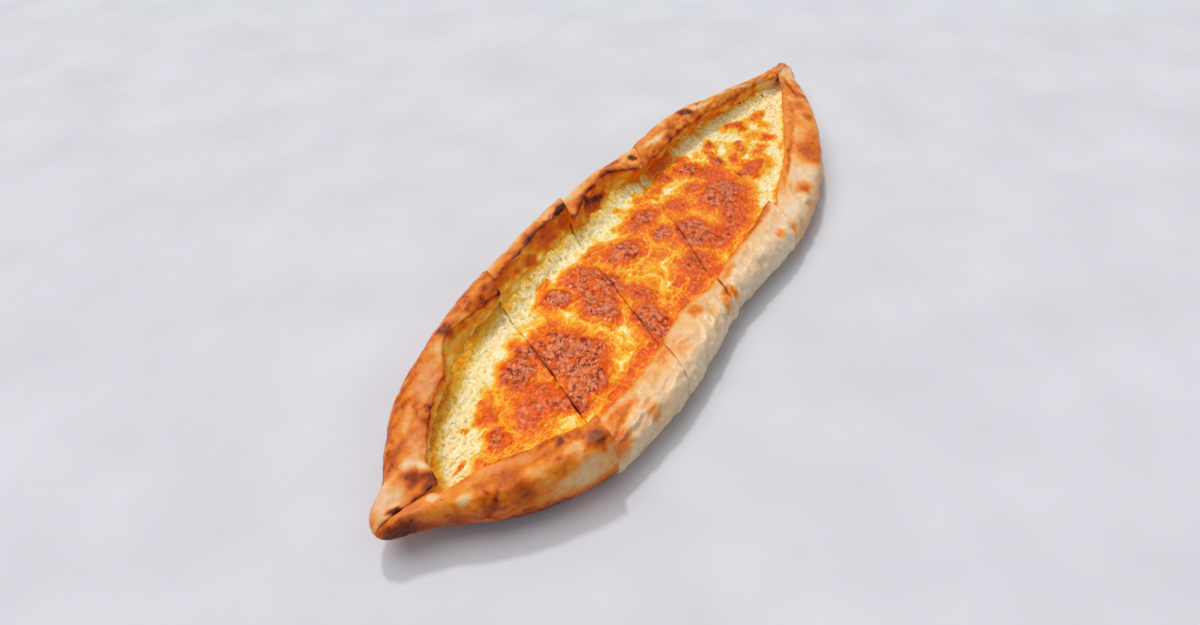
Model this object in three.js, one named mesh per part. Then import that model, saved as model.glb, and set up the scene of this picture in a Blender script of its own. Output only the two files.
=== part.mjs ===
// Cheese pide: a boat-shaped flatbread with folded rims, filled with baked cheese, cut across into five slices
// that still lie together. Units are millimetres. X runs from the near tip to the far tip, Y points to the left
// rim and Z up. The origin is on the flat underside, at the middle of the whole.
import * as THREE from "three";
import { mergeVertices } from "three/addons/utils/BufferGeometryUtils.js";

// Driving dimensions
const NEAR_TIP_X = -213.5;
const FAR_TIP_X = 210.5;
const NEAR_TIP_Z = 15.5;
const FAR_TIP_Z = 12;
const TIP_Y = 11.5;
const TIP_ROUNDING = 8;
const TIP_BLUNT = 0.4; // size of the flat end of a tip, as a share of the section behind it
const FLOOR = 5; // thickness of the dough under the cheese
const LIP = 3.2; // thickness of a folded lip
const CREASE = 1.5; // half width of the closed crease at a tip
const CREASE_DEPTH = 2.5;
const CORNER = 2.5; // width of the corner between the inner wall and the floor
const KERF = 0.5; // half width of a knife cut, along X

// The outer wall: how far in from the edge its crest and its turn to the underside lie at most, and the heights
// of its heel, its widest line and its shoulder as shares of the crest's
const CREST_IN = 5.5;
const TURN_IN = 8;
const IN_SHARE = 0.4; // neither lies further in than this share of the fold or of the half width
const HEEL = 0.13;
const WIDEST = 0.42;
const SHOULDER = 0.76;

// Where the points between the measured ones lie on the two skins, as shares of the way from one measured point
// to the next, in from the edge and up or down
const FLAP_IN = 0.4; // the flap's bend, from the lip to the crest
const FLAP_UP = 0.8;
const SHOULDER_IN = 0.2;
const HEEL_IN = 0.3;
const SOLE_IN = 0.45;
const LIP_SHARE = 0.5; // the lip is at most this share of the hollow's depth
const UNDER_LIP_IN = 0.15; // from the lip to the foot of the inner wall
const WALL_IN = 0.7;
const WALL_DOWN = 0.55;
const FOOT_DOWN = 0.1; // from the cheese's level to the floor
const CORNER_IN = 0.3;
const CORNER_DOWN = 0.75;
const FLOOR_IN = [0.3, 0.65];
const CREASE_LEVEL = 0.85; // where the closed crease counts as filled, as a share of its depth
const CREASE_FOOT = 0.2; // how far its foot and its corner lie from its sides, as shares of its half width
const CREASE_CORNER = 0.3;

// The cheese
const CHEESE_START_X = -183;
const CHEESE_END_X = 178;
const CHEESE_LEVEL = 12.5;
const CHEESE_SIDE_DROP = 1.6; // how much lower it is along the left rim
const CHEESE_DROP_FROM_Y = 5;
const CHEESE_DROP_TO_Y = 45;
const CHEESE_EDGE = 2.4; // thickness where it meets the dough
const CHEESE_BEND = 4; // width over which its underside bends up there
const CHEESE_LEAST = 1;
const JOINT_GAP = 0.4; // between the dough and the cheese of a slice
const UNDERCUT = 1; // how much narrower it is underneath
const DOME_POWER = 0.7; // shape of a blister's dome: 1 is pointed, near 0 is flat

// Faces across each skin, and how the sections of the two end slices crowd and straighten towards a tip
const DOUGH_ACROSS = 16;
const CHEESE_ACROSS = 18;
const TIP_CROWDING = 1.5;
const SLANT_FADE = 3;
const SLANT_PASSES = 6;
const SAME_POINT = 1e-3; // points closer than this are one point

// Knots are [x, value]. The two edges are the widest lines of the outer wall, as y.
const LEFT_EDGE = curve([
  [-213.5, 18.5], [-207, 20.5], [-196, 25], [-183, 35], [-160, 48.5], [-133, 55.5], [-96, 61.5], [-46, 62.8],
  [4, 59.8], [54, 53], [84, 51], [104, 46.5], [124, 38], [146, 28.5], [169, 20.5], [190, 17], [210.5, 16],
]);
const RIGHT_EDGE = curve([
  [-213.5, 6], [-206, 3.5], [-197, -5.5], [-185, -21], [-169, -35.5], [-154, -45], [-137, -53], [-86, -60],
  [-26, -58], [34, -64.5], [64, -62.5], [94, -56.2], [119, -47], [158, -26.5], [172, -17.5], [188, -6], [210.5, 6],
]);
const UNDERSIDE = curve([[-213.5, 10], [-196, 7.5], [-178, 3.5], [-156, 0], [154, 0], [184, 3], [210.5, 7]]);
const CREASE_Y = curve([[-213.5, 11], [-206, 9], [-186, 2], [-156, 0], [134, 0], [176, 6], [210.5, 11]]);
// How far the hollow for the cheese is open: 0 in the pinched tips, 1 in the body
const HOLLOW = curve([[-191, 0], [-184, 1], [179, 1], [187, 0]]);

// A knife cut crosses the pide along x = at + slope * y
const CUTS = [
  { at: -111.5, slope: 0.547 },
  { at: -50, slope: 0.662 },
  { at: 13, slope: 0.86 },
  { at: 82.8, slope: 0.83 },
];

// The rims of each slice, from its near end to its far end. fold is how far the lip reaches in from the edge,
// crest the height of the rim, lip the height of the lip's edge and foot how far in the cheese begins.
const SLICES = [
  {
    stations: 24,
    left: rim([
      { x: -208, fold: 12, crest: 21, lip: 20, foot: 12 }, { x: -187, fold: 30, crest: 23, lip: 21.5, foot: 31 },
      { x: -178, fold: 23.5, crest: 24.5, lip: 22.5, foot: 24.5 }, { x: -163, fold: 22, crest: 26, lip: 24, foot: 21 },
      { x: -145, fold: 20, crest: 27, lip: 25, foot: 19.5 }, { x: -125, fold: 9.5, crest: 26.5, lip: 25.5, foot: 16 },
      { x: -107, fold: 14.5, crest: 28, lip: 25, foot: 15.5 },
      { x: -90, fold: 18, crest: 28.5, lip: 24, foot: 15.5 },
    ]),
    right: rim([
      { x: -208, fold: 6, crest: 21, lip: 20, foot: 6 }, { x: -188, fold: 16, crest: 23, lip: 22, foot: 20 },
      { x: -172, fold: 22, crest: 25, lip: 23.5, foot: 18.5 }, { x: -150, fold: 20, crest: 28, lip: 26.5, foot: 19 },
      { x: -137, fold: 16, crest: 30, lip: 28, foot: 17 },
    ]),
  },
  {
    stations: 13,
    left: rim([
      { x: -78, fold: 12, crest: 27, lip: 26, foot: 19 }, { x: -46, fold: 10.5, crest: 27.5, lip: 26.5, foot: 18.5 },
      { x: -12, fold: 10, crest: 29, lip: 28, foot: 16 },
    ]),
    right: rim([
      { x: -130, fold: 20, crest: 20, lip: 17.5, foot: 19 }, { x: -91, fold: 21.5, crest: 20.5, lip: 17, foot: 20 },
    ]),
  },
  {
    stations: 12,
    left: rim([
      { x: -17, fold: 18, crest: 26, lip: 24.5, foot: 19 }, { x: 2, fold: 11.5, crest: 27, lip: 25.5, foot: 19 },
      { x: 20, fold: 9.5, crest: 27, lip: 25.5, foot: 15 }, { x: 38, fold: 20, crest: 26.5, lip: 23.5, foot: 15 },
    ]),
    right: rim([
      { x: -80, fold: 21.5, crest: 19.5, lip: 16.5, foot: 20 }, { x: -56, fold: 23, crest: 20.5, lip: 17, foot: 22 },
      { x: -28, fold: 17, crest: 18.5, lip: 16.5, foot: 16 },
    ]),
  },
  {
    stations: 13,
    left: rim([
      { x: 44, fold: 20, crest: 26.5, lip: 23, foot: 15.5 }, { x: 105, fold: 18, crest: 28, lip: 24, foot: 15 },
    ]),
    right: rim([
      { x: -32, fold: 15.5, crest: 20, lip: 17, foot: 14.5 }, { x: 9, fold: 21, crest: 21, lip: 17, foot: 20 },
      { x: 32, fold: 24, crest: 20, lip: 18, foot: 23 },
    ]),
  },
  {
    stations: 24,
    left: rim([
      { x: 108, fold: 17, crest: 28, lip: 24, foot: 14 }, { x: 130, fold: 13, crest: 27.5, lip: 23.5, foot: 11.5 },
      { x: 150, fold: 9, crest: 26.5, lip: 22.5, foot: 10 }, { x: 168, fold: 8, crest: 25, lip: 21.5, foot: 8.5 },
      { x: 180, fold: 11, crest: 24, lip: 20.5, foot: 9.5 }, { x: 202, fold: 8, crest: 19.5, lip: 18, foot: 8 },
    ]),
    right: rim([
      { x: 34, fold: 21, crest: 19, lip: 17, foot: 20 }, { x: 47, fold: 18.5, crest: 19, lip: 16.5, foot: 17.5 },
      { x: 60, fold: 22.5, crest: 20, lip: 18, foot: 21 }, { x: 113, fold: 25, crest: 22.5, lip: 20.5, foot: 23.5 },
      { x: 153, fold: 22, crest: 23.5, lip: 21.5, foot: 20 }, { x: 178, fold: 15, crest: 21.5, lip: 20, foot: 14 },
      { x: 202, fold: 7, crest: 18.5, lip: 17.5, foot: 7 },
    ]),
  },
];

// Browned blisters that stand up from the cheese: place, half length, half width, turn in degrees and height
const BLISTERS = [
  { x: -154, y: -1, long: 7, wide: 6, turn: 0, height: 1.4 },
  { x: -146, y: 10, long: 6, wide: 5, turn: 60, height: 1.2 },
  { x: -131, y: -6, long: 15, wide: 11, turn: 10, height: 1.4 },
  { x: -119, y: 13, long: 11, wide: 9, turn: 20, height: 1.9 },
  { x: -99, y: 3, long: 18, wide: 14, turn: 40, height: 2.1 },
  { x: -106, y: -17, long: 16, wide: 10, turn: 10, height: 1.9 },
  { x: -69, y: 25, long: 8.5, wide: 8, turn: 0, height: 1.9 },
  { x: -63, y: 3, long: 14, wide: 9, turn: 70, height: 1.8 },
  { x: -46, y: 21, long: 10, wide: 8, turn: 70, height: 1.4 },
  { x: -61, y: -26, long: 15, wide: 9, turn: 50, height: 1.8 },
  { x: -45, y: -12, long: 10, wide: 7, turn: 60, height: 1.3 },
  { x: -21, y: 12, long: 13, wide: 9, turn: -10, height: 1.7 },
  { x: 8, y: 17, long: 13, wide: 8, turn: 0, height: 1.4 },
  { x: 10, y: -14, long: 14, wide: 12, turn: 45, height: 1.5 },
  { x: 64, y: 16, long: 10, wide: 7, turn: -30, height: 1.5 },
  { x: 48, y: -13, long: 18, wide: 14, turn: 0, height: 1.7 },
  { x: 99, y: 0, long: 8.5, wide: 7, turn: 20, height: 1.3 },
  { x: 82, y: -18, long: 13, wide: 8, turn: -10, height: 1.6 },
  { x: 121, y: 12, long: 10, wide: 7, turn: -40, height: 1.4 },
  { x: 140, y: 4, long: 9, wide: 5, turn: 5, height: 1.1 },
];

const DOUGH_FINISH = { color: 0xdf9a52, roughness: 0.62, metalness: 0 };
const CHEESE_FINISH = { color: 0xf0a63c, roughness: 0.42, metalness: 0 };

// A smooth curve through knots that never swings past them, level beyond its ends
function curve(knots) {
  const last = knots.length - 1;
  const slope = (i) => (knots[i + 1][1] - knots[i][1]) / (knots[i + 1][0] - knots[i][0]);
  const tangents = knots.map((knot, i) => {
    if (i === 0) return slope(0);
    if (i === last) return slope(last - 1);
    const before = slope(i - 1);
    const after = slope(i);
    return before * after > 0 ? (2 * before * after) / (before + after) : 0;
  });
  return (x) => {
    const u = Math.min(Math.max(x, knots[0][0]), knots[last][0]);
    let i = 0;
    while (i < last - 1 && u > knots[i + 1][0]) i++;
    const width = knots[i + 1][0] - knots[i][0];
    const s = (u - knots[i][0]) / width;
    return knots[i][1] * (1 + 2 * s) * (1 - s) ** 2 + tangents[i] * width * s * (1 - s) ** 2
      + knots[i + 1][1] * s * s * (3 - 2 * s) + tangents[i + 1] * width * s * s * (s - 1);
  };
}

// Turns a rim's stations into one smooth curve for each of its measures
function rim(stations) {
  const measure = (name) => curve(stations.map((station) => [station.x, station[name]]));
  return { fold: measure("fold"), crest: measure("crest"), lip: measure("lip"), foot: measure("foot") };
}

const mix = (a, b, t) => a + (b - a) * t;

// The height of the cheese at a place, with the domes of its browned blisters
function cheeseHeight(x, y) {
  const aside = THREE.MathUtils.smoothstep(y, CHEESE_DROP_FROM_Y, CHEESE_DROP_TO_Y);
  let height = CHEESE_LEVEL - CHEESE_SIDE_DROP * aside;
  for (const blister of BLISTERS) {
    const turn = THREE.MathUtils.degToRad(blister.turn);
    const dx = x - blister.x;
    const dy = y - blister.y;
    const along = (dx * Math.cos(turn) + dy * Math.sin(turn)) / blister.long;
    const across = (dy * Math.cos(turn) - dx * Math.sin(turn)) / blister.wide;
    height += blister.height * Math.max(0, 1 - along ** 2 - across ** 2) ** DOME_POWER;
  }
  return height;
}

// The measures of one side of a slice's section at x: distances in from its edge, and heights
function sideMeasures(slice, side, x) {
  const edgeY = side === "left" ? LEFT_EDGE(x) : RIGHT_EDGE(x);
  const inward = side === "left" ? -1 : 1;
  const reach = (CREASE_Y(x) - edgeY) * inward;
  const base = UNDERSIDE(x);
  const open = HOLLOW(x);
  const fold = Math.min(slice[side].fold(x), reach - CREASE);
  const crest = slice[side].crest(x);
  const lip = slice[side].lip(x);
  const foot = mix(fold + CREASE_FOOT * CREASE, Math.min(slice[side].foot(x), reach - CREASE), open);
  const floor = mix(lip - CREASE_DEPTH, FLOOR, open);
  const level = mix(lip - CREASE_LEVEL * CREASE_DEPTH, CHEESE_LEVEL, open);
  return { edgeY, inward, reach, base, open, fold, crest, lip, foot, floor, level };
}

// Half of the dough's outer skin as [in from the edge, height], from the lip over the crest to the underside
function outerSkin({ reach, base, fold, crest, lip }) {
  const rise = crest - base;
  const crestIn = Math.min(CREST_IN, IN_SHARE * fold);
  const turnIn = Math.min(TURN_IN, IN_SHARE * reach);
  return [
    [fold, lip],
    [mix(fold, crestIn, FLAP_IN), mix(lip, crest, FLAP_UP)],
    [crestIn, crest],
    [SHOULDER_IN * crestIn, base + SHOULDER * rise],
    [0, base + WIDEST * rise],
    [HEEL_IN * turnIn, base + HEEL * rise],
    [turnIn, base],
    [mix(turnIn, reach, SOLE_IN), base],
    [reach, base],
  ];
}

// Half of the inner skin, each point facing the outer skin's: from the lip down the wall and over the floor
function innerSkin({ reach, open, fold, lip, foot, floor, level }) {
  const under = Math.min(LIP, LIP_SHARE * (lip - floor));
  const corner = Math.min(foot + CORNER * open, reach - CREASE_CORNER * CREASE);
  return [
    [fold, lip],
    [mix(fold, foot, UNDER_LIP_IN), lip - under],
    [mix(fold, foot, WALL_IN), mix(lip - under, level, WALL_DOWN)],
    [foot, mix(level, floor, FOOT_DOWN)],
    [mix(foot, corner, CORNER_IN), mix(level, floor, CORNER_DOWN)],
    [corner, floor],
    [mix(corner, reach, FLOOR_IN[0]), floor],
    [mix(corner, reach, FLOOR_IN[1]), floor],
    [reach, floor],
  ];
}

// A section's point from v = 0 at the left lip through 0.5 in the middle to 1 at the right lip
function doughPoint(slice, skin, x, v) {
  const side = v <= 0.5 ? "left" : "right";
  const measures = sideMeasures(slice, side, x);
  const run = skin(measures);
  const [u, z] = run[Math.round((v <= 0.5 ? 2 * v : 2 - 2 * v) * (run.length - 1))];
  return roundTip(x, measures.edgeY + measures.inward * u, z);
}

// Draws a section in towards the point of its tip, so that the tip ends round
function roundTip(x, y, z) {
  const near = x < 0;
  const left = near ? x - NEAR_TIP_X : FAR_TIP_X - x;
  const reach = Math.min(Math.max(left / TIP_ROUNDING, 0), 1);
  const scale = Math.max(Math.sqrt(1 - (1 - reach) ** 2), TIP_BLUNT);
  return { y: mix(TIP_Y, y, scale), z: mix(near ? NEAR_TIP_Z : FAR_TIP_Z, z, scale) };
}

// The top and underside of a slice's cheese, from v = 0 at its left end to 1 at its right one
function cheesePoint(slice, skin, x, v) {
  const left = sideMeasures(slice, "left", x);
  const right = sideMeasures(slice, "right", x);
  const inset = skin === "top" ? JOINT_GAP : JOINT_GAP + UNDERCUT;
  const leftY = left.edgeY - left.foot - inset;
  const rightY = right.edgeY + right.foot + inset;
  const y = mix(leftY, rightY, v);
  const ceiling = (side) => side.lip - LIP - 2 * JOINT_GAP + Math.max(0, Math.abs(y - side.edgeY) - side.fold);
  const top = Math.min(cheeseHeight(x, y), ceiling(left), ceiling(right));
  if (skin === "top") return { y, z: top };
  const fromSide = Math.min(leftY - y, y - rightY);
  const floor = Math.max(left.floor, right.floor) + JOINT_GAP;
  const bend = THREE.MathUtils.clamp(1 - fromSide / CHEESE_BEND, 0, 1);
  return { y, z: Math.min(mix(floor, top - CHEESE_EDGE, bend), top - CHEESE_LEAST) };
}

// Where a slice begins and ends along the middle line, and how its sections slant from its near end to its far
// end: with the cuts, and straight across towards a tip
function sliceSpan(index, nearEnd, farEnd) {
  const before = CUTS[index - 1];
  const after = CUTS[index];
  const fade = before && after ? 1 : SLANT_FADE;
  return {
    start: before ? before.at + KERF : nearEnd,
    end: after ? after.at - KERF : farEnd,
    slant: (share) => (before?.slope ?? 0) * (1 - share) ** fade + (after?.slope ?? 0) * share ** fade,
  };
}

// A closed body between two facing skins. pointOf(skin, x, v) gives y and z. The sections slant, so each
// point's x is found from its own y.
function loftSlice({ start, end, slant }, shares, across, skins, pointOf) {
  const ring = [
    ...Array.from({ length: across + 1 }, (_, i) => ({ skin: skins[0], v: i / across })),
    ...Array.from({ length: across + 1 }, (_, i) => ({ skin: skins[1], v: 1 - i / across })),
  ];
  const positions = [];
  for (const share of shares) {
    const middle = mix(start, end, share);
    for (const { skin, v } of ring) {
      let x = middle;
      let point = pointOf(skin, x, v);
      for (let pass = 0; pass < SLANT_PASSES; pass++) {
        x = middle + slant(share) * point.y;
        point = pointOf(skin, x, v);
      }
      positions.push(x, point.y, point.z);
    }
  }
  const index = [];
  const quad = (a, b, c, d) => index.push(a, b, c, a, c, d);
  const size = ring.length;
  for (let j = 0; j < shares.length - 1; j++) {
    for (let i = 0; i < size; i++) {
      const next = (i + 1) % size;
      quad(j * size + i, (j + 1) * size + i, (j + 1) * size + next, j * size + next);
    }
  }
  const lastRow = (shares.length - 1) * size;
  for (let i = 0; i < across; i++) {
    const facing = size - 1 - i;
    quad(i, i + 1, facing - 1, facing);
    quad(lastRow + facing, lastRow + facing - 1, lastRow + i + 1, lastRow + i);
  }
  return closedGeometry(positions, index);
}

// Merges the points that fall together, at the lips and the tips, and drops the faces that vanish with them
function closedGeometry(positions, index) {
  const raw = new THREE.BufferGeometry();
  raw.setAttribute("position", new THREE.Float32BufferAttribute(positions, 3));
  raw.setIndex(index);
  const geometry = mergeVertices(raw, SAME_POINT);
  const merged = geometry.index.array;
  const kept = [];
  for (let i = 0; i < merged.length; i += 3) {
    const [a, b, c] = merged.slice(i, i + 3);
    if (a !== b && b !== c && c !== a) kept.push(a, b, c);
  }
  geometry.setIndex(kept);
  geometry.computeVertexNormals();
  return geometry;
}

// Shares of a slice's length, closer together towards a tip
function stationShares(count, index) {
  const even = Array.from({ length: count + 1 }, (_, i) => i / count);
  if (index === 0) return even.map((share) => share ** TIP_CROWDING);
  if (index === CUTS.length) return even.map((share) => 1 - (1 - share) ** TIP_CROWDING);
  return even;
}

function makeMesh(name, geometry, finish) {
  const mesh = new THREE.Mesh(geometry, new THREE.MeshStandardMaterial(finish));
  mesh.name = name;
  return mesh;
}

function makeDough(slice, index) {
  const span = sliceSpan(index, NEAR_TIP_X, FAR_TIP_X);
  const shares = stationShares(slice.stations, index);
  const point = (skin, x, v) => doughPoint(slice, skin, x, v);
  const geometry = loftSlice(span, shares, DOUGH_ACROSS, [outerSkin, innerSkin], point);
  return makeMesh(`slice_${index + 1}_dough`, geometry, DOUGH_FINISH);
}

function makeCheese(slice, index) {
  const span = sliceSpan(index, CHEESE_START_X, CHEESE_END_X);
  const shares = Array.from({ length: slice.stations + 1 }, (_, i) => i / slice.stations);
  const point = (skin, x, v) => cheesePoint(slice, skin, x, v);
  const geometry = loftSlice(span, shares, CHEESE_ACROSS, ["bottom", "top"], point);
  return makeMesh(`slice_${index + 1}_cheese`, geometry, CHEESE_FINISH);
}

const pide = new THREE.Group();
pide.name = "cheese_pide";
SLICES.forEach((slice, index) => pide.add(makeDough(slice, index), makeCheese(slice, index)));

export default pide;
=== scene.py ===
# Cheese pide: the fine crust and cheese of its five slices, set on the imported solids. The shapes are worked
# out in millimetres from the same named values as the solids, with the relief and browning left out there.
import math
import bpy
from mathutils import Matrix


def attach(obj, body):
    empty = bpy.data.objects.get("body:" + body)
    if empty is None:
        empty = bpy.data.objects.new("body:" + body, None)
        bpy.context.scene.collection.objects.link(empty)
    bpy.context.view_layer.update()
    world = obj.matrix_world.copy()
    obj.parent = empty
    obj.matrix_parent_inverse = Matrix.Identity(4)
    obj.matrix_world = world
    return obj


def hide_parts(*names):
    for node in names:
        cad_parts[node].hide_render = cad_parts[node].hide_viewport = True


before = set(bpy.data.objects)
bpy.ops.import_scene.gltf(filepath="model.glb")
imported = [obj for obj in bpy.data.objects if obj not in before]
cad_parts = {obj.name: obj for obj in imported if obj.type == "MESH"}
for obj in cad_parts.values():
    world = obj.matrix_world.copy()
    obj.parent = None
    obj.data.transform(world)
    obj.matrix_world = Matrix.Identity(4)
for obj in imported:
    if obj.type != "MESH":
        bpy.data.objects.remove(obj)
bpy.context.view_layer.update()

from types import SimpleNamespace

import bpy
import numpy as np
from mathutils import Matrix, Vector

MM = 0.001

# The camera, in millimetres and degrees, as it stood for the photograph
CAMERA_PLACE = (-290.25, -147.96, 270.8)
CAMERA_AZIMUTH = -56.42
CAMERA_ELEVATION = 43.92
CAMERA_ROLL = -4.01
CAMERA_LENS = 22.775
SENSOR_WIDTH = 36


def put(name, data):
    """A new object in the scene"""
    thing = bpy.data.objects.new(name, data)
    bpy.context.scene.collection.objects.link(thing)
    return thing


def make_camera():
    data = bpy.data.cameras.new("camera")
    data.sensor_width = SENSOR_WIDTH
    data.lens = CAMERA_LENS
    data.clip_start = 0.01
    camera = put("camera", data)
    turn = Matrix.Rotation(math.radians(CAMERA_AZIMUTH), 4, "Z")
    tilt = Matrix.Rotation(math.radians(90 - CAMERA_ELEVATION), 4, "X")
    roll = Matrix.Rotation(math.radians(CAMERA_ROLL), 4, "Z")
    camera.matrix_world = Matrix.Translation(Vector(CAMERA_PLACE) * MM) @ turn @ tilt @ roll
    bpy.context.scene.camera = camera


make_camera()

# The shape of the solids. Knots are [x, value]; the edges are the widest lines of the outer wall, as y.
NEAR_TIP_X = -213.5
FAR_TIP_X = 210.5
NEAR_TIP_Z = 15.5
FAR_TIP_Z = 12
TIP_Y = 11.5
TIP_ROUNDING = 8
TIP_BLUNT = 0.08
FLOOR = 5
LIP = 3.2
CREASE = 0.5
CREASE_DEPTH = 2.5
CORNER = 2.5
CLOSED_FOOT = 0.2  # where the hollow is closed, how far the foot is past the fold
CLOSED_LEVEL = 0.85  # and how far the level is below the lip, as shares of the crease
CREST_IN = 5.5
TURN_IN = 8
IN_SHARE = 0.4
HEEL = 0.13
WIDEST = 0.42
SHOULDER = 0.76
CHEESE_ENDS = (-187, 178)
CHEESE_LEVEL = 12.5
CHEESE_SIDE_DROP = 1.6
CHEESE_DROP_Y = (5, 45)
CHEESE_EDGE = 2.4
CHEESE_BEND = 4
CHEESE_LEAST = 1
CHEESE_OVERLAP = 0.7  # how far the fine cheese runs into the fine crust
JOINT_GAP = 0.4
UNDERCUT = 1
DOME_POWER = 0.7
SLANT_FADE = 3
SLANT_PASSES = 7

# The cuts: how far they stray and gape, the y between which they narrow, and how far along a slice that shows
KERF = 0.13
KERF_SPREAD = 0.12
KERF_NARROWS = (12, 28)
KERF_NARROWED = 0.5
CUT_WANDER = 0.5
CUT_REACH = 3
CUTS_APART = 50  # in the noise, so that no two cuts are alike

# How the lips and crests of the rims wander: over what length and by what share of how ragged the rim is
LIP_BITES = 7
LIP_WAVES = 9
LIP_SWAY = 0.5
CREST_WAVES = 15
CREST_SWAY = 0.4
SIDES_APART = 40
FAR_CLOSING = (173, 184)  # the x between which the far pinch closes, with a low ridge
RIDGE = 0.4
SEAM = 0.02

# Sampling of the fine surfaces
ALONG_STEP = 0.75
END_STEPS = [0, 0.1, 0.22, 0.38, 0.6, 0.9]  # stations close to a cut, where the edge is rounded
CRUST_ROUND = 0.8
CHEESE_ROUND = 0.4
PILLOW_PASSES = 14  # how often the outer skin is evened out, which makes the rims pillows without a ridge
PILLOW_STARTS = (0.2, 0.9)  # along the half section, from 0 at the lip to 8 in the middle
PILLOW_ENDS = (6.3, 5.6)
HALF_FACES = [10, 9, 9, 9, 7, 5, 4, 4]  # faces between the section's named points, from the lip inwards
CHEESE_STEP = 0.62
CHEESE_WIDEST = 92
CAP_ROWS = 5


def curve(knots):
    """A smooth curve through knots that never swings past them, level beyond its ends"""
    xs, ys = np.array(knots, float).T
    slopes = np.diff(ys) / np.diff(xs)
    tangents = np.concatenate([slopes[:1], limited(slopes[:-1], slopes[1:]), slopes[-1:]])

    def value(x):
        u = np.clip(x, xs[0], xs[-1])
        i = np.clip(np.searchsorted(xs, u, side="right") - 1, 0, len(xs) - 2)
        width = xs[i + 1] - xs[i]
        s = (u - xs[i]) / width
        return hermite(ys[i], ys[i + 1], tangents[i] * width, tangents[i + 1] * width, s)

    return value


def limited(before, after):
    """The slope at a knot that keeps a curve from swinging past it"""
    same = before * after > 0
    return np.where(same, 2 * before * after / np.where(same, before + after, 1), 0)


def hermite(start, end, start_slope, end_slope, s):
    return (
        start * (1 + 2 * s) * (1 - s) ** 2
        + start_slope * s * (1 - s) ** 2
        + end * s * s * (3 - 2 * s)
        + end_slope * s * s * (s - 1)
    )


def mix(a, b, t):
    return a + (b - a) * t


def smooth(value, low, high):
    t = np.clip((value - low) / (high - low), 0, 1)
    return t * t * (3 - 2 * t)


def hashed(cell, seed):
    """A fixed random number from 0 to 1 for each lattice cell"""
    mixed = (cell[..., 0] * 73856093) ^ (cell[..., 1] * 19349663) ^ (cell[..., 2] * 83492791) ^ (seed * 40503)
    mixed &= 0xFFFFFFFF
    for _ in range(2):
        mixed = ((mixed ^ (mixed >> 16)) * 0x45D9F3B) & 0xFFFFFFFF
    return (mixed ^ (mixed >> 16)) / 0xFFFFFFFF


def noise(points, size, seed=0):
    """Smooth random values from about -1 to 1. Its bumps are about size across, or one size for each axis."""
    place = points / np.array(size, float)
    cell = np.floor(place).astype(np.int64)
    within = place - cell
    weight = within**3 * (within * (within * 6 - 15) + 10)
    total = np.zeros(points.shape[:-1])
    for corner in np.ndindex(2, 2, 2):
        away = within - corner
        turn = 2 * np.pi * hashed(cell + corner, seed)
        height = 2 * hashed(cell + corner, seed + 101) - 1
        flat = np.sqrt(1 - height**2)
        pull = away[..., 0] * flat * np.cos(turn) + away[..., 1] * flat * np.sin(turn) + away[..., 2] * height
        total += pull * np.prod(np.where(corner, weight, 1 - weight), axis=-1)
    return 1.7 * total


def rough(points, size, seed=0, octaves=3):
    """Noise of several sizes, each half as large and half as strong as the one before"""
    sizes = np.array(size, float)
    return sum(noise(points, sizes / 2**k, seed + 7 * k) / 2**k for k in range(octaves))


LEFT_EDGE = curve([
    [-213.5, 18.5], [-207, 20.5], [-196, 25], [-183, 35], [-160, 48.5], [-133, 55.5], [-96, 61.5],
    [-46, 62.8], [4, 59.8], [54, 53], [84, 51], [104, 46.5], [124, 38], [146, 28.5], [169, 20.5], [190, 17],
    [210.5, 16],
])
RIGHT_EDGE = curve([
    [-213.5, 6], [-206, 3.5], [-197, -5.5], [-185, -21], [-169, -35.5], [-154, -45], [-137, -53], [-86, -60],
    [-26, -58], [34, -64.5], [64, -62.5], [94, -56.2], [119, -47], [158, -26.5], [172, -17.5], [188, -6],
    [210.5, 6],
])
UNDERSIDE = curve([[-213.5, 10], [-196, 7.5], [-178, 3.5], [-156, 0], [154, 0], [184, 3], [210.5, 7]])
CREASE_Y = curve([[-213.5, 11], [-206, 9], [-186, 2], [-156, 0], [134, 0], [176, 6], [210.5, 11]])
HOLLOW = curve([[-191, 0], [-184, 1], [163, 1], [184, 0]])  # how far the hollow for the cheese is open

# A knife cut crosses the pide along x = at + slope * y
CUTS = [(-111.5, 0.547), (-50, 0.662), (13, 0.86), (82.8, 0.83)]

# Where a cut gapes: which one, the y, the half length and how much wider its half width is
GAPES = [
    (0, -21, 7, 0.7), (0, -2, 6, 0.2), (0, -45, 6, 0.25), (1, -43, 5, 0.35), (1, -52, 4, 0.1),
    (2, -47, 5, 0.4),
]


# The sizes of a silky rim's wide and fine wrinkles
LONG_FOLDS = ((16, 6, 6), (8, 3, 3))
ROUND_FOLDS = (9, (4, 5, 5))


def rim(stations, mottled=1, streaked=0, folds=None, **looks):
    """A slice's rim on one side. A station is (x, fold, crest, lip, foot). mottled and streaked are how
    uneven its brown is. Its other looks are tones, how brown the lip, the flap, the wall and the inner wall
    are, ragged, how far the lip wanders, rosy, how pinkish it is, and gloss, how oily."""
    x, *measures = np.array(stations, float).T
    fold, crest, lip, foot = (curve(np.stack([x, measure], axis=1)) for measure in measures)
    looks.update(mottled=mottled, streaked=streaked, folds=folds)
    return SimpleNamespace(fold=fold, crest=crest, lip=lip, foot=foot, **looks)


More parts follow.
